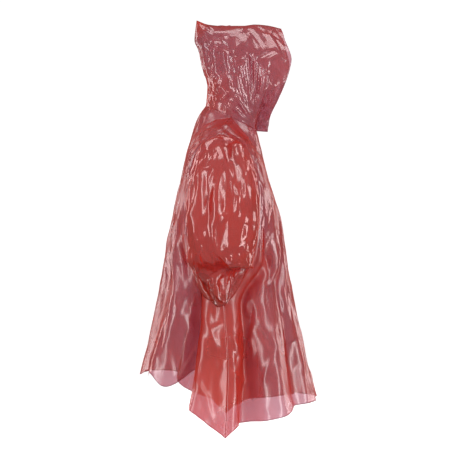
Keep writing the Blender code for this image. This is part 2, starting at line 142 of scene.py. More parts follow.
# ---------------------------------------------------------------- the frame's own sections, at a fine pitch
def column(rows, names, name, share):
    """One column of a table at shares of its first column, on a smooth curve with no overshoot."""
    at = names.index(name)
    x = np.array([r[0] for r in rows], float)
    y = np.array([r[at] for r in rows], float)
    step, slope = np.diff(x), np.diff(y) / np.diff(x)
    tangent = np.zeros(len(x))
    for i in range(1, len(x) - 1):
        if slope[i - 1] * slope[i] > 0:
            a, b = 2 * step[i] + step[i - 1], step[i] + 2 * step[i - 1]
            tangent[i] = (a + b) / (a / slope[i - 1] + b / slope[i])
    tangent[0], tangent[-1] = slope[0], slope[-1]
    share = np.clip(share, x[0], x[-1])
    i = np.minimum(np.searchsorted(x, share, side="right") - 1, len(x) - 2)
    t = (share - x[i]) / step[i]
    return (
        y[i] * (1 + 2 * t) * (1 - t) ** 2
        + y[i + 1] * t * t * (3 - 2 * t)
        + step[i] * (tangent[i] * t * (1 - t) ** 2 - tangent[i + 1] * t * t * (1 - t))
    )


def ease(low, high, value):
    t = np.clip((value - low) / (high - low), 0.0, 1.0)
    return t * t * (3 - 2 * t)


def evenly(points, count):
    """count + 1 points at equal distances along a polyline."""
    points = np.asarray(points, float)
    run = np.concatenate([[0], np.cumsum(np.linalg.norm(np.diff(points, axis=0), axis=1))])
    at = np.linspace(0, run[-1], count + 1)
    return np.stack([np.interp(at, run, points[:, k]) for k in range(3)], axis=1)


def respace(points, even):
    """The points of a polyline, slid along it towards even distances by a share."""
    run = np.concatenate([[0], np.cumsum(np.linalg.norm(np.diff(points, axis=0), axis=1))])
    at = run * (1 - even) + np.linspace(0, run[-1], len(points)) * even
    return np.stack([np.interp(at, run, points[:, k]) for k in range(3)], axis=1)


def neck(turn):
    """A point of the neckline on the left side: turn 0 at the middle of the back, 1 at the side, 2 at the throat."""
    a = turn * math.pi / 2
    share = (1 - math.cos(a)) / 2
    y = NECK_BACK_Y + (NECK_FRONT_Y - NECK_BACK_Y) * share
    z = NECK_BACK_Z + (NECK_FRONT_Z - NECK_BACK_Z) * share
    return np.array([NECK_HALF_WIDTH * math.sin(a), y, z])


def top_line(panel):
    """The top edge of half a panel: the neckline from its middle to the side of the neck, then the shoulder line."""
    start, points = (2.0 if panel == "front" else 0.0), []
    for i in range(NECK_COLUMNS):
        points.append(neck(start + (1.0 - start) * i / NECK_COLUMNS))
    side, tip = neck(1.0), np.array(SHOULDER_TIP)
    for i in range(COLUMNS - NECK_COLUMNS + 1):
        t = i / (COLUMNS - NECK_COLUMNS)
        points.append(side + (tip - side) * t + np.array([0, 0, 0.006 * math.sin(math.pi * t)]))
    return np.array(points)


def side_edge(panel, down):
    """A point of a panel's side on the left: the armhole's edge, and below it the side seam, which both panels share."""
    y = column(BODY, BODY_COLUMNS, f"side_{panel}_y", down)
    if down >= ARMHOLE_ROWS / ROWS:
        y = sum(column(BODY, BODY_COLUMNS, f"side_{p}_y", down) for p in ("front", "back")) / 2
    return np.array([column(BODY, BODY_COLUMNS, "side_x", down), y, column(BODY, BODY_COLUMNS, "side_z", down)])


def section(panel, side, down):
    """Half a section of the hanging cloth, from the panel's middle to its side, with its folds."""
    middle_y, middle_z = (column(BODY, BODY_COLUMNS, panel + k, down) for k in ("_y", "_z"))
    side_x, side_y, side_z = side_edge(panel, down)
    power = 2 / column(BODY, BODY_COLUMNS, "round_" + panel, down)
    a = np.linspace(0, 1, 241) * math.pi / 2
    points = np.stack(
        [side_x * np.sin(a) ** power, side_y + (middle_y - side_y) * np.abs(np.cos(a)) ** power, a * 0], axis=1
    )
    points = evenly(points, 240)
    across = np.linspace(0, 1, 241)
    low = ease(0.3, 1.0, down)
    drop = across**2 * (1 - low) + low * column(DROP, DROP_COLUMNS, panel, across)
    points[:, 2] = middle_z + (side_z - middle_z) * drop
    along = np.gradient(points[:, :2], axis=0)
    along /= np.linalg.norm(along, axis=1)[:, None]
    sign = 1.0 if panel == "back" else -1.0
    outward = np.stack([along[:, 1] * -sign, along[:, 0] * sign], axis=1)
    hold = np.sin(np.clip((1 - across) / 0.10, 0, 1) * math.pi / 2) * np.clip(across / 0.02, 0, 1)
    for row in FOLDS:
        fold = dict(zip(FOLD_COLUMNS, row))
        grown = ease(fold["start"], fold["full"], down)
        if fold["panel"] != panel or fold["side"] != side or grown <= 0:
            continue
        at = fold["top_at"] + (fold["at"] - fold["top_at"]) * grown
        shape = np.exp(-(((across - at) / fold["width"]) ** 2)) * hold * grown
        points[:, :2] += outward * (fold["out"] * shape)[:, None]
        points[:, :2] += along * (fold["lean"] * shape)[:, None]
        points[:, 2] += fold["lift"] * shape
    even = evenly(points, COLUMNS)
    even[0], even[-1] = points[0], points[-1]
    return even


def half_panel(panel, side):
    top, start = top_line(panel), section(panel, side, 0.0)
    grid = np.array(
        [section(panel, side, r / ROWS) + (top - start) * (1 - min(r / ROWS / YOKE, 1.0)) ** 2 for r in range(ROWS + 1)]
    )
    grid[:, :, 0] *= side
    return grid


def body_panel(panel):
    """The whole panel, from the right side seam to the left one."""
    right, left = half_panel(panel, -1), half_panel(panel, 1)
    right[:, 0] = left[:, 0] = (right[:, 0] + left[:, 0]) / 2
    return np.concatenate([right[:, ::-1], left[:, 1:]], axis=1)


def sleeve_ring(side, row, first):
    """A ring of a sleeve, from its section's row, with its points as far down the ring as the armhole's points are."""
    ring = dict(zip(SLEEVE_COLUMNS, row))
    outer = np.array([ring[f"outer_{k}"] for k in "xyz"])
    inner = np.array([ring[f"inner_{k}"] for k in "xyz"])
    puff = 0.02 * math.sin(math.pi * ring["along"]) * (1 - ring["along"])
    half = len(first) // 2
    share = (first[:, 2] - first[0, 2]) / (first[half, 2] - first[0, 2])
    up = 1 - 2 * share
    bulge = math.sin(math.pi * min(ring["along"] / 0.8, 1.0)) ** 0.5 if ring["along"] < 0.8 else 0.0
    power = 2.0 + np.where(up > 0, 1.0, -0.45) * bulge
    deep = np.clip(1 - np.abs(up) ** power, 0, 1) ** (1 / power) * np.where(np.arange(len(first)) < half, 1, -1)
    points = outer + (inner - outer) * share[:, None]
    points[:, 1] += ring["half_width"] * (1 + ring["pear"] * up) * deep
    points[:, 0] = side * (points[:, 0] + puff * (1 - up * up))
    return points


def sleeve(side):
    """Grid [ring, point around] of a sleeve. The last point of each ring meets its first."""
    first = [side_edge("back", r / ROWS) for r in range(ARMHOLE_ROWS + 1)]
    first += [side_edge("front", r / ROWS) for r in range(ARMHOLE_ROWS - 1, -1, -1)]
    first = np.array(first) * (side, 1, 1)
    tables = np.array([first] + [sleeve_ring(side, row, first) for row in SLEEVE[1:]])
    shares = np.array([row[0] for row in SLEEVE])
    rings = []
    for ring in range(SLEEVE_RINGS + 1):
        share = ring / SLEEVE_RINGS
        i = min(max(int(np.searchsorted(shares, share, side="right")) - 1, 0), len(shares) - 2)
        step = shares[i + 1] - shares[i]
        t = (share - shares[i]) / step
        tangent = []
        for k in (i, i + 1):
            low, high = max(k - 1, 0), min(k + 1, len(shares) - 1)
            tangent.append((tables[high] - tables[low]) / (shares[high] - shares[low]))
        points = (
            tables[i] * (1 + 2 * t) * (1 - t) ** 2
            + tables[i + 1] * t * t * (3 - 2 * t)
            + step * (tangent[0] * t * (1 - t) ** 2 - tangent[1] * t * t * (1 - t))
        )
        # away from the armhole the points lie at even distances, so that the creases keep their form
        half, even = len(points) // 2, ease(0.0, 0.30, share)
        spread = np.concatenate([respace(points[: half + 1], even)[:-1], respace(points[half:], even)])
        rings.append(spread)
    return np.array(rings)


def edge(rows, share):
    return np.stack([column(rows, EDGE_COLUMNS, "y", share), column(rows, EDGE_COLUMNS, "z", share)], axis=-1)


def hood(side):
    """Grid [row, column] of half the hood: rows from the neck up to the top weld, columns from the back weld forward."""
    throat = 2 * NECK_COLUMNS
    columns = throat + HOOD_FREE_COLUMNS
    bottom = np.zeros((columns + 1, 3))
    corner = edge(HOOD_FRONT, 0.0)
    for c in range(columns + 1):
        if c <= throat:
            bottom[c] = neck(2.0 * c / throat)
        else:
            t = (c - throat) / HOOD_FREE_COLUMNS
            y, z = np.array([NECK_FRONT_Y, NECK_FRONT_Z]) + (corner - (NECK_FRONT_Y, NECK_FRONT_Z)) * t
            bottom[c] = (OPENING[0][1] * t, y, z)
    foot = (bottom[:, 1] - bottom[0, 1]) / (bottom[-1, 1] - bottom[0, 1])
    even = np.linspace(0, 1, columns + 1)
    grid = np.zeros((HOOD_ROWS + 1, columns + 1, 3))
    for r in range(HOOD_ROWS + 1):
        up = r / HOOD_ROWS
        back, front = edge(HOOD_BACK, up), edge(HOOD_FRONT, up)
        forward = foot + (even - foot) * ease(0.0, 0.5, up)
        f = forward[:, None]
        corners = (
            edge(HOOD_BACK, 0.0) * (1 - f) * (1 - up)
            + edge(HOOD_FRONT, 0.0) * f * (1 - up)
            + edge(HOOD_BACK, 1.0) * (1 - f) * up
            + edge(HOOD_FRONT, 1.0) * f * up
        )
        yz = back * (1 - f) + front * f + bottom[:, 1:] * (1 - up) + edge(HOOD_TOP, forward) * up - corners
        round_back = np.sqrt(np.clip(1 - (1 - np.clip(forward / 0.42, 0, 1)) ** 2, 0, 1))
        power = 2.3 - 0.9 * ease(0.5, 1.0, forward)
        round_top = np.clip(1 - min(max((up - 0.55) / 0.45, 0.0), 1.0) ** power, 0, 1) ** (1 / power)
        crown = HOOD_HALF_WIDTH * round_back * round_top
        x = crown + (column(OPENING, OPENING_COLUMNS, "half_width", up) - crown) * ease(0.45, 1.0, forward)
        grid[r, :, 0] = side * np.maximum(bottom[:, 0] + (x - bottom[:, 0]) * ease(0.0, 0.42, up), 0.0)
        grid[r, :, 1:] = yz
    return grid


GRIDS = {"front_panel": body_panel("front"), "back_panel": body_panel("back")}
for word, side in (("right", -1), ("left", 1)):
    GRIDS["sleeve_" + word] = sleeve(side)
    GRIDS["hood_" + word] = hood(side)
INSIDE_OUT = ("front_panel", "sleeve_left", "hood_left")  # their quads run the other way round


# ---------------------------------------------------------------- all the film as one welded net
class Net:
    """Every grid's points, welded where they meet, so that folds run on across the seams."""

    def __init__(self, grids):
        points = np.concatenate([g.reshape(-1, 3) for g in grids.values()])
        keys = np.round(points * 20000).astype(np.int64)
        _, first, inverse = np.unique(keys, axis=0, return_index=True, return_inverse=True)
        self.points, inverse = points[first], inverse.reshape(-1)
        self.at, start = {}, 0
        quads = []
        for name, grid in grids.items():
            size = grid.shape[0] * grid.shape[1]
            ids = inverse[start : start + size].reshape(grid.shape[:2])
            start += size
            self.at[name] = ids
            quad = np.stack([ids[:-1, :-1], ids[:-1, 1:], ids[1:, 1:], ids[1:, :-1]], axis=-1).reshape(-1, 4)
            quads.append(quad[:, ::-1] if name in INSIDE_OUT else quad)
        self.quads = np.concatenate(quads)

    def normals(self):
        p = self.points
        a, b, c, d = (p[self.quads[:, k]] for k in range(4))
        face = np.cross(c - a, d - b)
        total = np.zeros_like(p)
        for k in range(4):
            np.add.at(total, self.quads[:, k], face)
        return total / np.maximum(np.linalg.norm(total, axis=1), 1e-12)[:, None]


net = Net(GRIDS)


def side_view(points, near=-1):
    """Where points stand in a side view from 5 m, in steps of 3.35 mm: across to the front, and down."""
    reach = (5 + points[:, 0] * -near) / 5
    y = (points[:, 1] + 0.0235) / reach - 0.0235
    z = (points[:, 2] + 0.392) / reach - 0.392
    return 222 - y / 0.00335, 112 - z / 0.00335


def run_of(points_xy, line):
    """Distances from a polyline: how far along it as a share, and how far to its side (signed)."""
    line = np.asarray(line, float)
    lengths = np.linalg.norm(np.diff(line, axis=0), axis=1)
    total, start = lengths.sum(), 0.0
    best = np.full(len(points_xy), 1e9)
    along, aside = np.zeros(len(points_xy)), np.full(len(points_xy), 1e9)
    for i in range(len(line) - 1):
        way = (line[i + 1] - line[i]) / lengths[i]
        offset = points_xy - line[i]
        t = offset @ way
        s = offset @ np.array([-way[1], way[0]])
        over = np.maximum(np.maximum(-t, t - lengths[i]), 0)
        away = np.hypot(s, over)
        take = away < best
        best[take] = away[take]
        along[take] = ((start + np.clip(t, 0, lengths[i])) / total)[take]
        aside[take] = (np.sign(s) * away)[take]
        start += lengths[i]
    return along, aside


# ---------------------------------------------------------------- creases
# Seen from the garment's right, in the steps of side_view. kind: tent is a sharp crest or valley between two flat slopes,
# fold is a thin sharp line, ledge is a sharp step that lies back on one side, ridge is soft. width and height in mm.
CREASE_COLUMNS = ("kind", "width", "height", "line")
SLEEVE_CREASES = (
    ("tent", 18, 10, ((228, 112), (229, 128), (232, 146), (236, 166))),
    ("tent", 16, -9, ((222, 110), (221, 126), (223, 146))),
    ("tent", 16, 9, ((214, 112), (211, 130), (210, 150))),
    ("tent", 16, 9, ((240, 112), (246, 130), (250, 150), (253, 175))),
    ("tent", 16, -9, ((235, 114), (241, 134), (245, 156))),
    ("tent", 14, -8, ((206, 118), (202, 136), (200, 152))),
    ("tent", 30, 13, ((233, 130), (240, 160), (247, 190), (251, 216))),
    ("tent", 24, -12, ((226, 130), (230, 155), (236, 180), (239, 200))),
    ("tent", 26, 12, ((219, 140), (219, 175), (218, 205), (214, 226))),
    ("tent", 22, -12, ((208, 160), (208, 195), (208, 228))),
    ("tent", 22, 10, ((199, 156), (199, 185), (197, 210))),
    ("tent", 18, 9, ((206, 124), (205, 140), (209, 160))),
    ("tent", 16, -8, ((195, 150), (192, 175), (190, 208))),
    ("tent", 14, 9, ((213, 224), (214, 240), (217, 253), (222, 258))),
    ("tent", 14, -8, ((205, 236), (207, 250), (213, 262))),
    ("tent", 12, 7, ((254, 165), (255, 200), (257, 240))),
    ("tent", 12, -7, ((259, 130), (260, 170), (261, 215), (262, 245))),
    ("tent", 16, 6, ((229, 196), (229, 215), (229, 240), (230, 262))),
    ("tent", 14, 7, ((221, 256), (226, 247), (239, 246), (257, 236))),
    ("tent", 12, -6, ((226, 256), (240, 254), (256, 248))),
    ("tent", 14, 6, ((212, 223), (220, 219), (229, 215))),
    ("tent", 10, 4, ((216, 207), (226, 202))),
    ("tent", 12, 5, ((239, 219), (248, 222), (256, 225))),
    ("tent", 10, 5, ((234, 184), (240, 194), (236, 204))),
    ("tent", 9, -4, ((232, 178), (234, 192), (242, 198))),
    ("tent", 12, 6, ((199, 176), (206, 170), (213, 166))),
    ("fold", 4, 4.0, ((201, 143), (205, 152), (209, 160))),
    ("fold", 4, 4.0, ((199, 142), (210, 133))),
    ("tent", 12, 7, ((221, 150), (226, 164), (231, 176))),
    ("tent", 12, 6, ((242, 158), (245, 172), (249, 156))),
    ("fold", 3, 4.0, ((197, 243), (205, 237))),
    ("tent", 10, 5, ((222, 258), (227, 264))),
    ("tent", 9, 5, ((247, 252), (246, 266))),
    ("tent", 16, -8, ((206, 262), (212, 274), (219, 290))),
    ("tent", 12, 7, ((202, 256), (209, 270), (217, 286))),
)
BODY_CREASES = (
    ("tent", 14, 6, ((232, 100), (240, 110), (249, 128))),
    ("tent", 14, 6, ((222, 96), (214, 106), (206, 122), (200, 142))),
    ("tent", 12, -5, ((226, 98), (219, 110), (212, 126))),
    ("tent", 12, 5, ((211, 98), (204, 110), (197, 128))),
    ("tent", 30, 10, ((259, 150), (268, 185), (274, 220), (277, 262), (281, 285), (286, 310))),
    ("tent", 24, -9, ((265, 190), (268, 240), (271, 290), (272, 330))),
    ("tent", 16, 8, ((255, 127), (255, 170), (256, 210), (257, 245))),
    ("tent", 18, 7, ((260, 261), (270, 280), (280, 300), (293, 331))),
    ("tent", 18, 7, ((297, 335), (287, 340), (277, 345))),
    ("tent", 16, 6, ((293, 331), (297, 345), (302, 372))),
    ("tent", 16, 5, ((271, 338), (276, 350), (287, 372))),
    ("tent", 16, 5, ((276, 348), (268, 368), (262, 385))),
    ("tent", 26, 8, ((281, 240), (285, 270), (290, 300))),
    ("tent", 14, 4, ((262, 407), (272, 414))),
    ("tent", 14, 4, ((289, 402), (297, 404))),
    ("tent", 20, -13, ((185, 195), (185, 230), (189, 280))),
    ("tent", 14, 8, ((186, 188), (190, 205), (191, 220))),
    ("tent", 26, 10, ((180, 186), (177, 225), (174, 262))),
    ("tent", 12, 5, ((164, 259), (175, 262), (186, 262))),
    ("tent", 22, 9, ((192, 268), (197, 286), (202, 302), (207, 323), (212, 338), (217, 352), (222, 364))),
    ("tent", 30, 8, ((178, 290), (172, 330), (166, 372))),
    ("tent", 26, -7, ((170, 280), (163, 330), (157, 372))),
    ("tent", 14, 7, ((204, 278), (206, 290), (205, 300))),
    ("tent", 14, 7, ((212, 286), (216, 300), (217, 316))),
    ("tent", 16, 7, ((212, 330), (218, 326), (223, 324))),
    ("tent", 18, 7, ((196, 380), (205, 398), (212, 422))),
    ("tent", 12, 6, ((236, 340), (242, 372), (246, 404))),
    ("tent", 10, 6, ((231, 336), (238, 352), (241, 362))),
    ("tent", 10, 5, ((250, 338), (253, 350), (250, 362))),
    ("tent", 12, 5, ((232, 374), (240, 376), (247, 386))),
)
HOOD_CREASES = (
    ("tent", 9, 5.1, ((197, 22), (203, 30), (211, 35))),
    ("tent", 9, 5.1, ((208, 25), (213, 30))),
    ("tent", 15, 5.4, ((212, 34), (232, 31), (252, 29))),
    ("tent", 12, 5.1, ((262, 28), (272, 40), (284, 60))),
    ("tent", 9, 3.4, ((268, 60), (276, 55), (284, 60))),
    ("tent", 9, 5.1, ((231, 78), (236, 92), (241, 104), (248, 119))),
    ("tent", 12, 6.8, ((240, 55), (244, 72), (248, 92), (250, 112))),
    ("tent", 12, 6.8, ((247, 50), (249, 75), (251, 100))),
    ("tent", 15, 8.1, ((255, 58), (256, 80), (252, 104), (250, 118))),
    ("tent", 12, 6.8, ((261, 62), (263, 80), (258, 100), (251, 118))),
    ("tent", 9, 5.1, ((214, 78), (226, 92), (240, 104), (250, 120))),
    ("tent", 9, 5.1, ((208, 92), (222, 100), (238, 112), (250, 124))),
    ("tent", 9, 5.1, ((268, 60), (266, 85), (258, 108), (252, 120))),
    ("tent", 15, 5.4, ((287, 66), (280, 84), (272, 102), (262, 118))),
    ("tent", 9, 5.1, ((206, 104), (212, 112), (220, 118))),
    ("tent", 9, 4.2, ((213, 112), (206, 120), (202, 128))),
    ("tent", 9, -6.0, ((244, 60), (247, 80), (249, 110))),
    ("tent", 10, -7.0, ((252, 54), (252, 80), (251, 108))),
    ("tent", 9, -6.0, ((258, 60), (259, 84), (254, 108))),
    ("tent", 9, 5.0, ((236, 58), (240, 84), (247, 112))),
    ("tent", 12, 5.0, ((228, 40), (230, 60), (236, 84))),
    ("tent", 12, -5.0, ((222, 38), (224, 62), (230, 88))),
    ("tent", 14, 5.0, ((214, 40), (215, 62), (221, 84))),
    ("tent", 10, -4.0, ((206, 44), (208, 66), (212, 88))),
)


def tent(aside, width):
    return np.sqrt(np.maximum(1 - np.abs(aside) / width, 0) ** 2 + 0.0025) - 0.05


def profile(kind, aside, width):
    if kind == "tent":
        return tent(aside, width)
    if kind in ("ridge", "trough"):
        return np.exp(-((aside / width) ** 2))
    if kind == "fold":
        return np.exp(-np.sqrt((aside / width) ** 2 + 0.04) + 0.2)
    return (0.5 + 0.5 * np.tanh(aside / width * 2)) * np.exp(-np.abs(aside) / (width * 5))


def crease(points, normals, out, rows, near=-1, scale=1.0, shift=(0.0, 0.0), only=None):
    """Adds the creases of a table to the outward moves of the film that faces the side."""
    across, down = side_view(points, near)
    facing = ease(-0.02, 0.20, normals[:, 0] * near)
    if only is not None:
        facing = facing * only
    index = np.nonzero(facing > 0)[0]
    xy = np.stack([across[index] + shift[0], down[index] + shift[1]], axis=1)
    for row in rows:
        item = dict(zip(CREASE_COLUMNS, row))
        width = item["width"] / 3.35
        line = np.array(item["line"], float)
        reach = width * (1 if item["kind"] == "tent" else 6)
        low, high = line.min(axis=0) - reach, line.max(axis=0) + reach
        inside = np.all((xy > low) & (xy < high), axis=1)
        if not inside.any():
            continue
        along, aside = run_of(xy[inside], line)
        taper = np.sin(np.pi * np.clip(along, 0.02, 0.98)) ** 0.45
        move = item["height"] / 1000 * taper
        out[index[inside]] += scale * move * profile(item["kind"], aside, width) * facing[index[inside]]


def crumple(points, normals, out, weight, count, seed, length, width, height, upright=0.0):
    """Adds many short straight creases, placed by a seeded rule where weight is high. upright turns them vertical."""
    rng = np.random.default_rng(seed)
    chance = weight / weight.sum()
    centres = rng.choice(len(points), size=count, p=chance)
    for c in centres:
        n = normals[c]
        up = np.array([0.0, 0.0, 1.0]) - n * n[2]
        up /= max(np.linalg.norm(up), 1e-6)
        flat = np.cross(n, up)
        turn = rng.uniform(-1, 1) * math.pi / 2 * (1 - upright)
        run = up * math.cos(turn) + flat * math.sin(turn)
        square = np.cross(n, run)
        long = rng.uniform(*length) / 2
        wide = rng.uniform(*width)
        high = rng.uniform(*height) * rng.choice([-1, 1])
        bend = rng.uniform(-0.12, 0.12) / long
        offset = points - points[c]
        t, s, deep = offset @ run, offset @ square, offset @ n
        close = (np.abs(t) < long) & (np.abs(s) < wide * 1.5) & (np.abs(deep) < 0.05)
        t, s = t[close], s[close] + bend * t[close] ** 2
        same = np.clip(normals[close] @ n, 0, 1)
        local = weight[close] / max(weight[c], 1e-6)
        shape = tent(s, wide) * (1 - (t / long) ** 2)
        out[close] += high * shape * same * np.clip(local, 0, 1)


def ripples(points, seed, waves, number=20):
    """Smooth random waves of about unit height. waves: the shortest and longest wave along x and y, then along z."""
    rng = np.random.default_rng(seed)
    total = np.zeros(len(points))
    for _ in range(number):
        flat, turn, tall = rng.uniform(*waves[0]), rng.uniform(0, math.tau), rng.uniform(*waves[1])
        way = np.array([math.cos(turn) / flat, math.sin(turn) / flat, rng.choice([-1, 1]) / tall]) * math.tau
        total += np.cos(points @ way + rng.uniform(0, math.tau))
    return total / math.sqrt(number / 2)


def facets(points, seed, waves, soft=0.12):
    """Smooth slopes that meet in sharp creases, as in crumpled film: 0 on average, about unit height."""
    value = ripples(points, seed, waves)
    return 0.8 - np.sqrt(value * value + soft * soft)


def grid_weight(name, value):
    """A share for each point of the net, from a piece's own grid."""
    weight = np.zeros(len(net.points))
    weight[net.at[name].reshape(-1)] = value.reshape(-1)
    return weight


def shares(name):
    shape = net.at[name].shape
    return np.meshgrid(np.linspace(0, 1, shape[0]), np.linspace(0, 1, shape[1]), indexing="ij")


def hanging_folds(out, seed):
    """Long soft folds that fall from the shoulders and the neck, narrow at the top and wider at the hem."""
    rng = np.random.default_rng(seed)
    for name in ("front_panel", "back_panel"):
        down, across = shares(name)
        move = np.zeros_like(down)
        for i in range(10):
            top = rng.uniform(0.04, 0.96)
            foot = 0.5 + (top - 0.5) * rng.uniform(0.95, 1.12) + rng.uniform(-0.02, 0.02)
            start, end = rng.uniform(0.02, 0.45), rng.uniform(0.6, 1.25)
            wide = rng.uniform(0.018, 0.048)
            high = rng.uniform(0.005, 0.011) * rng.choice([-1, 1])
            sway = rng.uniform(-0.02, 0.02)
            at = top + (foot - top) * down + sway * np.sin(down * math.pi * rng.uniform(0.8, 1.8))
            shape = tent(across - at, 1.4 * wide * (0.6 + 0.7 * down))
            move += high * shape * ease(start, start + 0.18, down) * (1 - ease(end - 0.2, end, down))
        hold = ease(0, 0.05, across) * ease(0, 0.05, 1 - across) * ease(0.0, 0.08, down)
        out += grid_weight(name, move * hold)


def seam_hold():
    """How far the creases may move each point: little at the armholes, so that no notch opens along them."""
    hold = np.ones(len(net.points))
    for name in net.at:
        down, across = shares(name)
        if name.startswith("sleeve"):
            value = 0.3 + 0.7 * ease(0.0, 0.12, down)
        elif name.endswith("panel"):
            value = 0.3 + 0.7 * np.maximum(ease(0.0, 0.05, np.minimum(across, 1 - across)), ease(0.6, 0.7, down))
        else:
            value = 0.4 + 0.6 * ease(0.0, 0.06, down)
        np.minimum.at(hold, net.at[name].reshape(-1), value.reshape(-1))
    return hold


def relax(weight, rounds):
    """Draws each point to the middle of its neighbours, as far as its weight says: the film rounds its seams off."""
    pairs = np.concatenate([net.quads[:, [k, (k + 1) % 4]] for k in range(4)])
    count = np.bincount(pairs[:, 0], minlength=len(net.points)) + np.bincount(pairs[:, 1], minlength=len(net.points))
    for _ in range(rounds):
        middle = np.zeros_like(net.points)
        for k in range(3):
            middle[:, k] = np.bincount(pairs[:, 0], net.points[pairs[:, 1], k], len(net.points))
            middle[:, k] += np.bincount(pairs[:, 1], net.points[pairs[:, 0], k], len(net.points))
        middle /= count[:, None]
        net.points += (middle - net.points) * weight[:, None]


near_armhole = np.zeros(len(net.points))
for name in net.at:
    down, across = shares(name)
    if name.startswith("sleeve"):
        value = 1 - ease(0.02, 0.22, down)
    elif name.endswith("panel"):
        value = (1 - ease(0.0, 0.09, np.minimum(across, 1 - across))) * (1 - ease(0.58, 0.64, down)) * ease(0.0, 0.02, down)
    else:
        value = 0 * down
    np.maximum.at(near_armhole, net.at[name].reshape(-1), value.reshape(-1))
relax(near_armhole * 0.8, 90)

points, normals = net.points.copy(), net.normals()
moves = np.zeros(len(points))
is_hood = sum(grid_weight(n, np.ones(net.at[n].shape)) for n in ("hood_right", "hood_left"))
is_sleeve = sum(grid_weight(n, np.ones(net.at[n].shape)) for n in ("sleeve_right", "sleeve_left"))
is_body = sum(grid_weight(n, np.ones(net.at[n].shape)) for n in ("front_panel", "back_panel"))
is_hood, is_sleeve, is_body = (np.clip(w, 0, 1) for w in (is_hood, is_sleeve, is_body))

hanging_folds(moves, 7)
crease(points, normals, moves, SLEEVE_CREASES, only=is_sleeve)
crease(points, normals, moves, BODY_CREASES, only=is_body)
crease(points, normals, moves, HOOD_CREASES, only=is_hood)
# the other side hangs much the same way, a little lower and further back
crease(points, normals, moves, SLEEVE_CREASES, near=1, scale=0.9, shift=(4, -7), only=is_sleeve)
crease(points, normals, moves, BODY_CREASES, near=1, scale=0.8, shift=(-6, 9), only=is_body)
crease(points, normals, moves, HOOD_CREASES, near=1, scale=0.9, shift=(-3, 4), only=is_hood)

shoulders = np.exp(-(((np.abs(points[:, 0]) - 0.17) / 0.09) ** 2) - ((points[:, 2] + 0.10) / 0.10) ** 2)
web = is_sleeve * np.exp(-(((points[:, 2] + 0.55) / 0.12) ** 2))
blend_sleeve = is_sleeve * ease(0.0, 0.03, np.abs(points[:, 0]) - 0.20)
low = np.clip((-points[:, 2] - 0.08) / 0.25, 0, 1)
moves += blend_sleeve * 0.0070 * facets(points, 31, ((0.08, 0.18), (0.35, 0.90)))
moves += blend_sleeve * 0.0018 * facets(points, 32, ((0.05, 0.10), (0.12, 0.40)))
moves += is_body * (1 - is_sleeve) * low * 0.0080 * facets(points, 33, ((0.18, 0.38), (0.8, 2.5)))
moves += is_body * 0.0014 * facets(points, 34, ((0.08, 0.18), (0.12, 0.40)))
moves += np.clip(shoulders, 0, 1) * 0.0025 * facets(points, 35, ((0.08, 0.16), (0.10, 0.30)))
moves += is_hood * 0.0020 * facets(points, 36, ((0.08, 0.16), (0.10, 0.30)))
crumple(points, normals, moves, 0.04 + shoulders, 150, 11, (0.06, 0.22), (0.006, 0.018), (0.0018, 0.0055), 0.55)
crumple(points, normals, moves, is_sleeve * 0.5 + 0.5 * web, 170, 12, (0.07, 0.30), (0.006, 0.018), (0.0016, 0.0055), 0.80)
crumple(points, normals, moves, is_hood + 1e-4, 170, 13, (0.04, 0.14), (0.005, 0.015), (0.0012, 0.0042), 0.2)
sides_first = is_body * (0.45 + np.abs(normals[:, 0])) + 1e-4
crumple(points, normals, moves, sides_first, 150, 14, (0.10, 0.45), (0.010, 0.034), (0.0020, 0.0065), 0.5)

stay = np.ones(len(points))
for name in ("hood_right", "hood_left"):  # the weld of the two halves stays on the plane between them
    far = np.abs(points[:, 0])
    stay = np.where(is_hood > 0, ease(0.0, 0.012, far), stay)
# the silhouettes to the front and the back stay smooth
moves *= np.where(is_sleeve + is_hood > 0, 1.0, 0.42 + 0.58 * np.clip(np.abs(normals[:, 0]) * 1.3, 0, 1))
moves = np.where(moves > 0, 0.024 * np.tanh(moves / 0.024), 0.030 * np.tanh(moves / 0.030)) * stay * seam_hold()
points = points + normals * moves[:, None]
net.points = points


# ---------------------------------------------------------------- material
TINT = (0.645, 0.520, 0.580)  # what each face of the shell lets through
SLEEVE_TINT = (0.66, 0.49, 0.52)
GLOW = (0.80, 0.070, 0.032)  # what the film scatters back
GLOSS = (0.068, 0.088)  # share of light mirrored, facing and at a slant
SLANT_TINT = (0.50, 0.29, 0.34)  # what a face lets through at a grazing angle, where the way through film is longer
SLANT_HAZE = 0.13  # how much more it scatters there
PAINTED_SHADE_HAZE = 0.19  # painted shade: how much more it scatters where the film is painted darker and redder
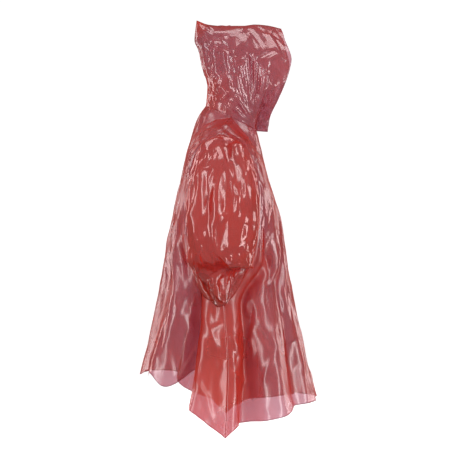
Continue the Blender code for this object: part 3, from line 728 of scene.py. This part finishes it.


def film_material(name, tint, haze, rough):
    """See-through film: light passes tinted, some is scattered back red, and a sharp gloss lies on both faces."""
    material = bpy.data.materials.new(name)
    material.use_nodes = True
    tree = material.node_tree
    tree.nodes.clear()
    node = lambda kind: tree.nodes.new(kind)
    link = lambda a, b: tree.links.new(a, b)
    place = node("ShaderNodeTexCoord")
    stretch = node("ShaderNodeMapping")
    stretch.inputs["Scale"].default_value = (1.0, 1.0, 0.35)
    link(place.outputs["Object"], stretch.inputs["Vector"])

    crinkle = node("ShaderNodeTexVoronoi")
    crinkle.feature = "DISTANCE_TO_EDGE"
    crinkle.inputs["Scale"].default_value = 26.0
    warp = node("ShaderNodeTexNoise")
    warp.inputs["Scale"].default_value = 9.0
    warp.inputs["Detail"].default_value = 3.0
    add = node("ShaderNodeVectorMath")
    add.operation = "MULTIPLY_ADD"
    add.inputs[1].default_value = (0.06, 0.06, 0.06)
    link(stretch.outputs["Vector"], warp.inputs["Vector"])
    link(warp.outputs["Color"], add.inputs[0])
    link(stretch.outputs["Vector"], add.inputs[2])
    link(add.outputs["Vector"], crinkle.inputs["Vector"])
    fine = node("ShaderNodeTexNoise")
    fine.inputs["Scale"].default_value = 70.0
    fine.inputs["Detail"].default_value = 4.0
    link(place.outputs["Object"], fine.inputs["Vector"])
    bump_a = node("ShaderNodeBump")
    bump_a.inputs["Strength"].default_value = 0.35
    bump_a.inputs["Distance"].default_value = 0.004
    link(crinkle.outputs["Distance"], bump_a.inputs["Height"])
    bump_b = node("ShaderNodeBump")
    bump_b.inputs["Strength"].default_value = 0.25
    bump_b.inputs["Distance"].default_value = 0.0015
    link(fine.outputs["Fac"], bump_b.inputs["Height"])
    link(bump_a.outputs["Normal"], bump_b.inputs["Normal"])

    cloud = node("ShaderNodeTexNoise")
    cloud.inputs["Scale"].default_value = 6.0
    cloud.inputs["Detail"].default_value = 5.0
    link(place.outputs["Object"], cloud.inputs["Vector"])
    vary = node("ShaderNodeMapRange")
    vary.inputs["From Min"].default_value = 0.3
    vary.inputs["From Max"].default_value = 0.7
    vary.inputs["To Min"].default_value = rough * 0.7
    vary.inputs["To Max"].default_value = rough * 1.5
    link(cloud.outputs["Fac"], vary.inputs["Value"])
    amount = node("ShaderNodeMapRange")
    amount.inputs["From Min"].default_value = 0.3
    amount.inputs["From Max"].default_value = 0.7
    amount.inputs["To Min"].default_value = haze * 0.85
    amount.inputs["To Max"].default_value = haze * 1.2
    link(cloud.outputs["Fac"], amount.inputs["Value"])

    rim = node("ShaderNodeAttribute")
    rim.attribute_name = "rim"
    darker = node("ShaderNodeMix")
    darker.data_type = "RGBA"
    darker.inputs[6].default_value = (*tint, 1)
    darker.inputs[7].default_value = (tint[0] * 0.62, tint[1] * 0.62, tint[2] * 0.66, 1)
    # painted shade: this attribute darkens the tint, on top of the darker hems and welds from rim, and below it adds
    # red scatter
    painted_shade = node("ShaderNodeAttribute")
    painted_shade.attribute_name = "painted_shade"
    seams_and_painted_shade = node("ShaderNodeMath")
    seams_and_painted_shade.operation = "MULTIPLY_ADD"
    seams_and_painted_shade.use_clamp = True
    seams_and_painted_shade.inputs[1].default_value = 0.30
    link(painted_shade.outputs["Fac"], seams_and_painted_shade.inputs[0])
    link(rim.outputs["Fac"], seams_and_painted_shade.inputs[2])
    link(seams_and_painted_shade.outputs[0], darker.inputs[0])

    slant = node("ShaderNodeLayerWeight")
    slant.inputs["Blend"].default_value = 0.5
    link(bump_b.outputs["Normal"], slant.inputs["Normal"])
    depth = node("ShaderNodeMapRange")
    depth.inputs["From Min"].default_value = 0.15
    depth.inputs["From Max"].default_value = 1.0
    depth.inputs["To Min"].default_value = 0.0
    depth.inputs["To Max"].default_value = 1.0
    link(slant.outputs["Facing"], depth.inputs["Value"])
    steep = node("ShaderNodeMath")
    steep.operation = "POWER"
    steep.inputs[1].default_value = 1.6
    link(depth.outputs["Result"], steep.inputs[0])
    deeper = node("ShaderNodeMix")
    deeper.data_type = "RGBA"
    deeper.inputs[7].default_value = (*SLANT_TINT, 1)
    link(steep.outputs[0], deeper.inputs[0])
    link(darker.outputs[2], deeper.inputs[6])
    # painted shade: more red scatter where the film is painted darker
    haze_and_painted_shade = node("ShaderNodeMath")
    haze_and_painted_shade.operation = "MULTIPLY_ADD"
    haze_and_painted_shade.inputs[1].default_value = PAINTED_SHADE_HAZE
    link(painted_shade.outputs["Fac"], haze_and_painted_shade.inputs[0])
    link(amount.outputs["Result"], haze_and_painted_shade.inputs[2])
    thicker = node("ShaderNodeMath")
    thicker.operation = "MULTIPLY_ADD"
    thicker.inputs[1].default_value = SLANT_HAZE
    link(steep.outputs[0], thicker.inputs[0])
    link(haze_and_painted_shade.outputs[0], thicker.inputs[2])

    through = node("ShaderNodeBsdfTransparent")
    link(deeper.outputs[2], through.inputs["Color"])
    body = node("ShaderNodeBsdfDiffuse")
    body.inputs["Color"].default_value = (*GLOW, 1)
    link(bump_b.outputs["Normal"], body.inputs["Normal"])
    glow = node("ShaderNodeBsdfTranslucent")
    glow.inputs["Color"].default_value = (*GLOW, 1)
    both = node("ShaderNodeMixShader")
    both.inputs[0].default_value = 0.5
    link(body.outputs[0], both.inputs[1])
    link(glow.outputs[0], both.inputs[2])
    film = node("ShaderNodeMixShader")
    link(thicker.outputs[0], film.inputs[0])
    link(through.outputs[0], film.inputs[1])
    link(both.outputs[0], film.inputs[2])
    shine = node("ShaderNodeBsdfGlossy")
    link(vary.outputs["Result"], shine.inputs["Roughness"])
    link(bump_b.outputs["Normal"], shine.inputs["Normal"])
    gloss = node("ShaderNodeMapRange")
    gloss.interpolation_type = "SMOOTHSTEP"
    gloss.inputs["From Min"].default_value = 0.25
    gloss.inputs["From Max"].default_value = 1.0
    gloss.inputs["To Min"].default_value = GLOSS[0]
    gloss.inputs["To Max"].default_value = GLOSS[1]
    link(slant.outputs["Facing"], gloss.inputs["Value"])
    faces = node("ShaderNodeNewGeometry")
    inner = node("ShaderNodeMath")
    inner.operation = "SUBTRACT"
    inner.use_clamp = True
    link(gloss.outputs["Result"], inner.inputs[0])
    link(faces.outputs["Backfacing"], inner.inputs[1])
    surface = node("ShaderNodeMixShader")
    link(inner.outputs[0], surface.inputs[0])
    link(film.outputs[0], surface.inputs[1])
    link(shine.outputs[0], surface.inputs[2])
    out = node("ShaderNodeOutputMaterial")
    link(surface.outputs[0], out.inputs["Surface"])
    return material


# ---------------------------------------------------------------- pieces
def rim_of(name):
    """1 on the film's free edges and welds, 0 away from them."""
    shape = net.at[name].shape
    rim = np.zeros(shape)
    if name.endswith("panel"):
        rim[-1] = 1.0
        rim[:, 0] = rim[:, -1] = np.where(np.arange(shape[0]) > ARMHOLE_ROWS, 0.2, 0.0)
    elif name.startswith("sleeve"):
        rim[-1] = 1.0
    else:
        rim[-1] = 1.0
        rim[:, 0] = 1.0
        rim[:, -1] = 1.0
        rim[0, 2 * NECK_COLUMNS :] = 1.0
    return rim


def painted_shade_of(name):
    """Painted shade, from 0 to 1, where the film is painted darker and redder: at the sides of the body, down the
    sleeves, and at the hood's back corner and nape.
    """
    down, across = shares(name)
    if name.endswith("panel"):
        return ease(0.55, 0.85, np.abs(2 * across - 1)) * ease(0.30, 0.55, down)
    if name.startswith("sleeve"):
        return 0.5 * ease(0.35, 0.75, down)
    nape = (1 - ease(0.15, 0.50, across)) * (1 - ease(0.25, 0.55, down))
    corner = (1 - ease(0.04, 0.16, across)) * ease(0.80, 0.97, down)
    return np.maximum(0.8 * nape, corner)


def shell(name, piece_name, tint, haze, rough):
    ids = net.at[name]
    grid = net.points[ids]
    rows, columns = grid.shape[0] - 1, grid.shape[1] - 1
    tube = name.startswith("sleeve")
    count = columns if tube else columns + 1
    index = np.arange((rows + 1) * count).reshape(rows + 1, count)
    if tube:
        index = np.concatenate([index, index[:, :1]], axis=1)
        grid = grid[:, :-1]
    quads = np.stack([index[:-1, :-1], index[:-1, 1:], index[1:, 1:], index[1:, :-1]], axis=-1).reshape(-1, 4)
    if name in INSIDE_OUT:
        quads = quads[:, ::-1]
    mesh = bpy.data.meshes.new(piece_name)
    mesh.from_pydata(grid.reshape(-1, 3).tolist(), [], quads.tolist())
    rim = rim_of(name)
    rim = rim[:, :-1] if tube else rim
    mesh.attributes.new("rim", "FLOAT", "POINT").data.foreach_set("value", rim.reshape(-1).astype(np.float32))
    # painted shade, stored on the points for the film's material
    painted_shade = painted_shade_of(name)
    painted_shade = painted_shade[:, :-1] if tube else painted_shade
    mesh.attributes.new("painted_shade", "FLOAT", "POINT").data.foreach_set("value", painted_shade.reshape(-1).astype(np.float32))
    mesh.shade_smooth()
    piece = bpy.data.objects.new(piece_name, mesh)
    bpy.context.scene.collection.objects.link(piece)
    wall = piece.modifiers.new("film", "SOLIDIFY")
    wall.thickness = FILM
    wall.offset = 0.0
    mesh.materials.append(film_material(piece_name, tint, haze, rough))
    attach(piece, "root")
    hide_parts(name)
    return piece


PIECES = {
    "front_panel": shell("front_panel", "film_front", TINT, 0.17, 0.25),
    "back_panel": shell("back_panel", "film_back", TINT, 0.17, 0.25),
    "sleeve_right": shell("sleeve_right", "film_sleeve_right", SLEEVE_TINT, 0.24, 0.18),
    "sleeve_left": shell("sleeve_left", "film_sleeve_left", SLEEVE_TINT, 0.24, 0.18),
    "hood_right": shell("hood_right", "film_hood_right", TINT, 0.14, 0.21),
    "hood_left": shell("hood_left", "film_hood_left", TINT, 0.14, 0.21),
}


# ---------------------------------------------------------------- studio
def sweep():
    """A pale floor that curves up into a wall all round, so that no edge of it shows from any side."""
    profile_points = [(0.0, -1.40), (3.0, -1.40), (7.5, -1.40)]
    for i in range(1, 13):
        a = i / 12 * math.pi / 2
        profile_points.append((7.5 + 2.5 * math.sin(a), -1.40 + 2.5 * (1 - math.cos(a))))
    profile_points.append((10.0, 7.0))
    bm = bmesh.new()
    around = 96
    rings = [
        [bm.verts.new((r * math.cos(k / around * math.tau), r * math.sin(k / around * math.tau), z)) for k in range(around)]
        for r, z in profile_points[1:]
    ]
    centre = bm.verts.new((0, 0, -1.40))
    for k in range(around):
        bm.faces.new((centre, rings[0][k], rings[0][(k + 1) % around]))
    for low, high in zip(rings, rings[1:]):
        for k in range(around):
            j = (k + 1) % around
            bm.faces.new((low[k], high[k], high[j], low[j]))
    mesh = bpy.data.meshes.new("floor_sweep")
    bm.to_mesh(mesh)
    bm.free()
    mesh.shade_smooth()
    floor = bpy.data.objects.new("floor_sweep", mesh)
    bpy.context.scene.collection.objects.link(floor)
    material = bpy.data.materials.new("floor_sweep")
    material.use_nodes = True
    tree = material.node_tree
    shader = tree.nodes["Principled BSDF"]
    shader.inputs["Base Color"].default_value = (0.93, 0.93, 0.93, 1)
    shader.inputs["Roughness"].default_value = 0.9
    shader.inputs["Specular IOR Level"].default_value = 0.1
    grain = tree.nodes.new("ShaderNodeTexNoise")
    grain.inputs["Scale"].default_value = 40.0
    bump = tree.nodes.new("ShaderNodeBump")
    bump.inputs["Strength"].default_value = 0.05
    tree.links.new(grain.outputs["Fac"], bump.inputs["Height"])
    tree.links.new(bump.outputs["Normal"], shader.inputs["Normal"])
    shader.inputs["Emission Color"].default_value = (1.0, 1.0, 1.0, 1)
    shader.inputs["Emission Strength"].default_value = 0.50
    mesh.materials.append(material)
    floor.visible_diffuse = False  # the film is lit by the softboxes and the sky above, as if the room were flagged off
    floor.visible_glossy = False
    floor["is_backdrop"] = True
    return floor


def softbox(azimuth, distance, height, size, power, aim=(0, 0, -0.40)):
    """An area light, at an azimuth measured from +X, turned to the garment."""
    a = math.radians(azimuth)
    data = bpy.data.lights.new(f"softbox_{azimuth}", "AREA")
    data.shape = "RECTANGLE"
    data.size, data.size_y = size
    data.energy = power
    lamp = bpy.data.objects.new(data.name, data)
    lamp.location = (distance * math.cos(a), distance * math.sin(a), height)
    lamp.rotation_euler = (Vector(aim) - lamp.location).to_track_quat("-Z", "Y").to_euler()
    lamp.visible_camera = False
    bpy.context.scene.collection.objects.link(lamp)
    lamp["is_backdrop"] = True


sweep()
for azimuth, power in ((130, 75), (230, 85), (50, 70), (310, 75)):
    softbox(azimuth, 3.6, 0.2, (1.2, 2.9), power)
softbox(180, 0.8, 3.4, (2.6, 2.6), 110)

world = bpy.data.worlds.new("studio")
bpy.context.scene.world = world
world.use_nodes = True
world.node_tree.nodes["Background"].inputs["Color"].default_value = (1, 1, 1, 1)
world.node_tree.nodes["Background"].inputs["Strength"].default_value = 0.5
bpy.context.scene.view_settings.view_transform = "Standard"
bpy.context.scene.cycles.transparent_max_bounces = 48

camera_data = bpy.data.cameras.new("camera")
camera_data.sensor_width = 36.0
camera_data.lens = 117.3
camera = bpy.data.objects.new("camera", camera_data)
camera.location = (-5.0, -0.0235, -0.392)
camera.rotation_euler = (math.pi / 2, 0, -math.pi / 2)
bpy.context.scene.collection.objects.link(camera)
bpy.context.scene.camera = camera
camera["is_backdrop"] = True

low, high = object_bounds()
